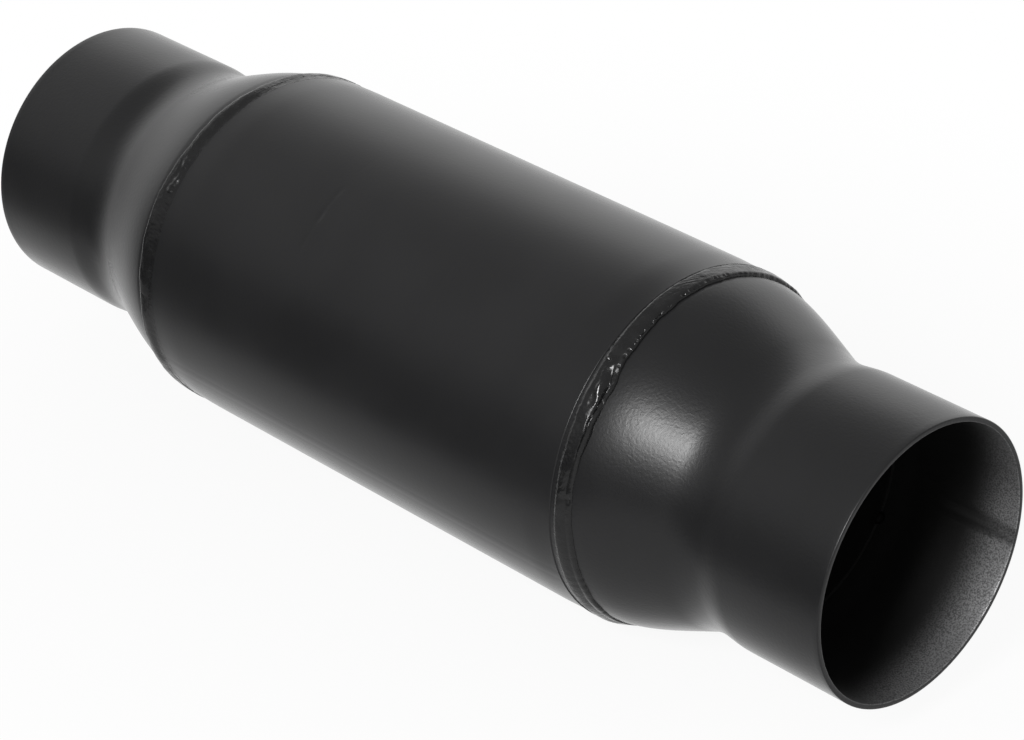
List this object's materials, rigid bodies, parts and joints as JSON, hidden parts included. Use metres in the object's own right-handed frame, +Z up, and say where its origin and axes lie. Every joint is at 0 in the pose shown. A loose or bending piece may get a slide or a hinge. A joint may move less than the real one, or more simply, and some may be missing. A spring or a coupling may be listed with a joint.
{
  "type": "straight-through muffler",
  "caption": "Round straight-through exhaust muffler with slip-on necks, flared end caps welded into the case, and a packed slotted core.",
  "frame": {"origin": "middle of the axis, halfway between the two rims", "axes": "+X along the axis towards the outlet rim, +Z up; the muffler lies as it hangs in a level exhaust line"},
  "size_m": [0.324, 0.1016, 0.1016],
  "materials": {
    "black_coating": "satin black high-temperature coating on steel sheet",
    "coated_weld": "satin black coating over a weld bead",
    "core_steel": "bare mill steel, dulled",
    "core_weld": "bare tack weld",
    "glass_fibre": "matted glass fibre"
  },
  "bodies": {
    "root": {"case_shell": "black_coating", "inlet_end_cap": "black_coating", "outlet_end_cap": "black_coating", "inlet_weld_bead": "coated_weld", "outlet_weld_bead": "coated_weld", "slotted_core": "core_steel", "inlet_core_tacks": "core_weld", "outlet_core_tacks": "core_weld", "fibre_packing": "glass_fibre"}
  },
  "joints": []
}
